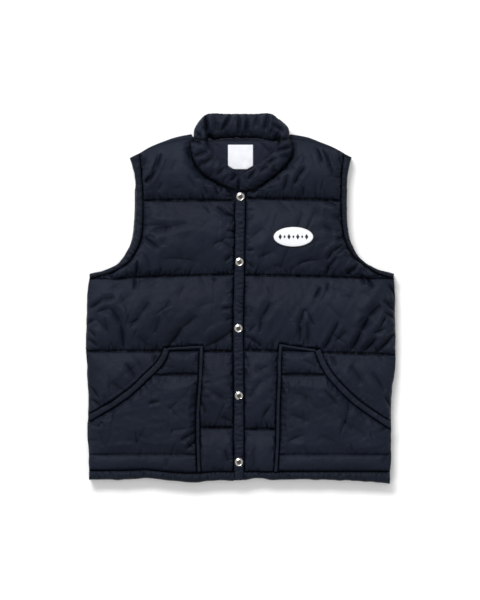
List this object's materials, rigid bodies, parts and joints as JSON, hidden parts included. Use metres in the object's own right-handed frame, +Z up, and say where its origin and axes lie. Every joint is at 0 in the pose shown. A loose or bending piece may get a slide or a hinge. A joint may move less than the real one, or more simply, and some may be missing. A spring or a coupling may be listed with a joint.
{
  "type": "puffer vest laid flat",
  "caption": "Quilted puffer vest in dark navy, fastened with snaps and laid flat on its back, with a padded stand collar and slanted patch pockets",
  "frame": {"origin": "on the surface that the vest lies on, under the middle of its outline", "axes": "X towards the wearer's left, Y towards the collar, Z up off the surface"},
  "size_m": [0.5912, 0.7086, 0.051],
  "materials": {
    "shell_fabric": "satin navy nylon, padded",
    "binding_fabric": "satin navy nylon, folded strip",
    "lining_fabric": "smooth navy lining, thinly padded",
    "label_fabric": "white woven twill",
    "snap_metal": "polished nickel plate"
  },
  "bodies": {
    "root": {"back_panel": "shell_fabric", "back_hem_band": "binding_fabric", "back_lining": "lining_fabric", "neck_label": "label_fabric", "collar": "shell_fabric", "placket": "shell_fabric", "chest_patch": "label_fabric", "right_front": "shell_fabric", "left_front": "shell_fabric", "right_front_armhole_binding": "binding_fabric", "left_front_armhole_binding": "binding_fabric", "right_back_armhole_binding": "binding_fabric", "left_back_armhole_binding": "binding_fabric", "right_front_hem_band": "binding_fabric", "left_front_hem_band": "binding_fabric", "right_pocket": "shell_fabric", "left_pocket": "shell_fabric", "right_pocket_binding": "binding_fabric", "left_pocket_binding": "binding_fabric", "right_pocket_opening_binding": "binding_fabric", "left_pocket_opening_binding": "binding_fabric", "snap_1": "snap_metal", "snap_2": "snap_metal", "snap_3": "snap_metal", "snap_4": "snap_metal", "snap_5": "snap_metal"}
  },
  "joints": []
}
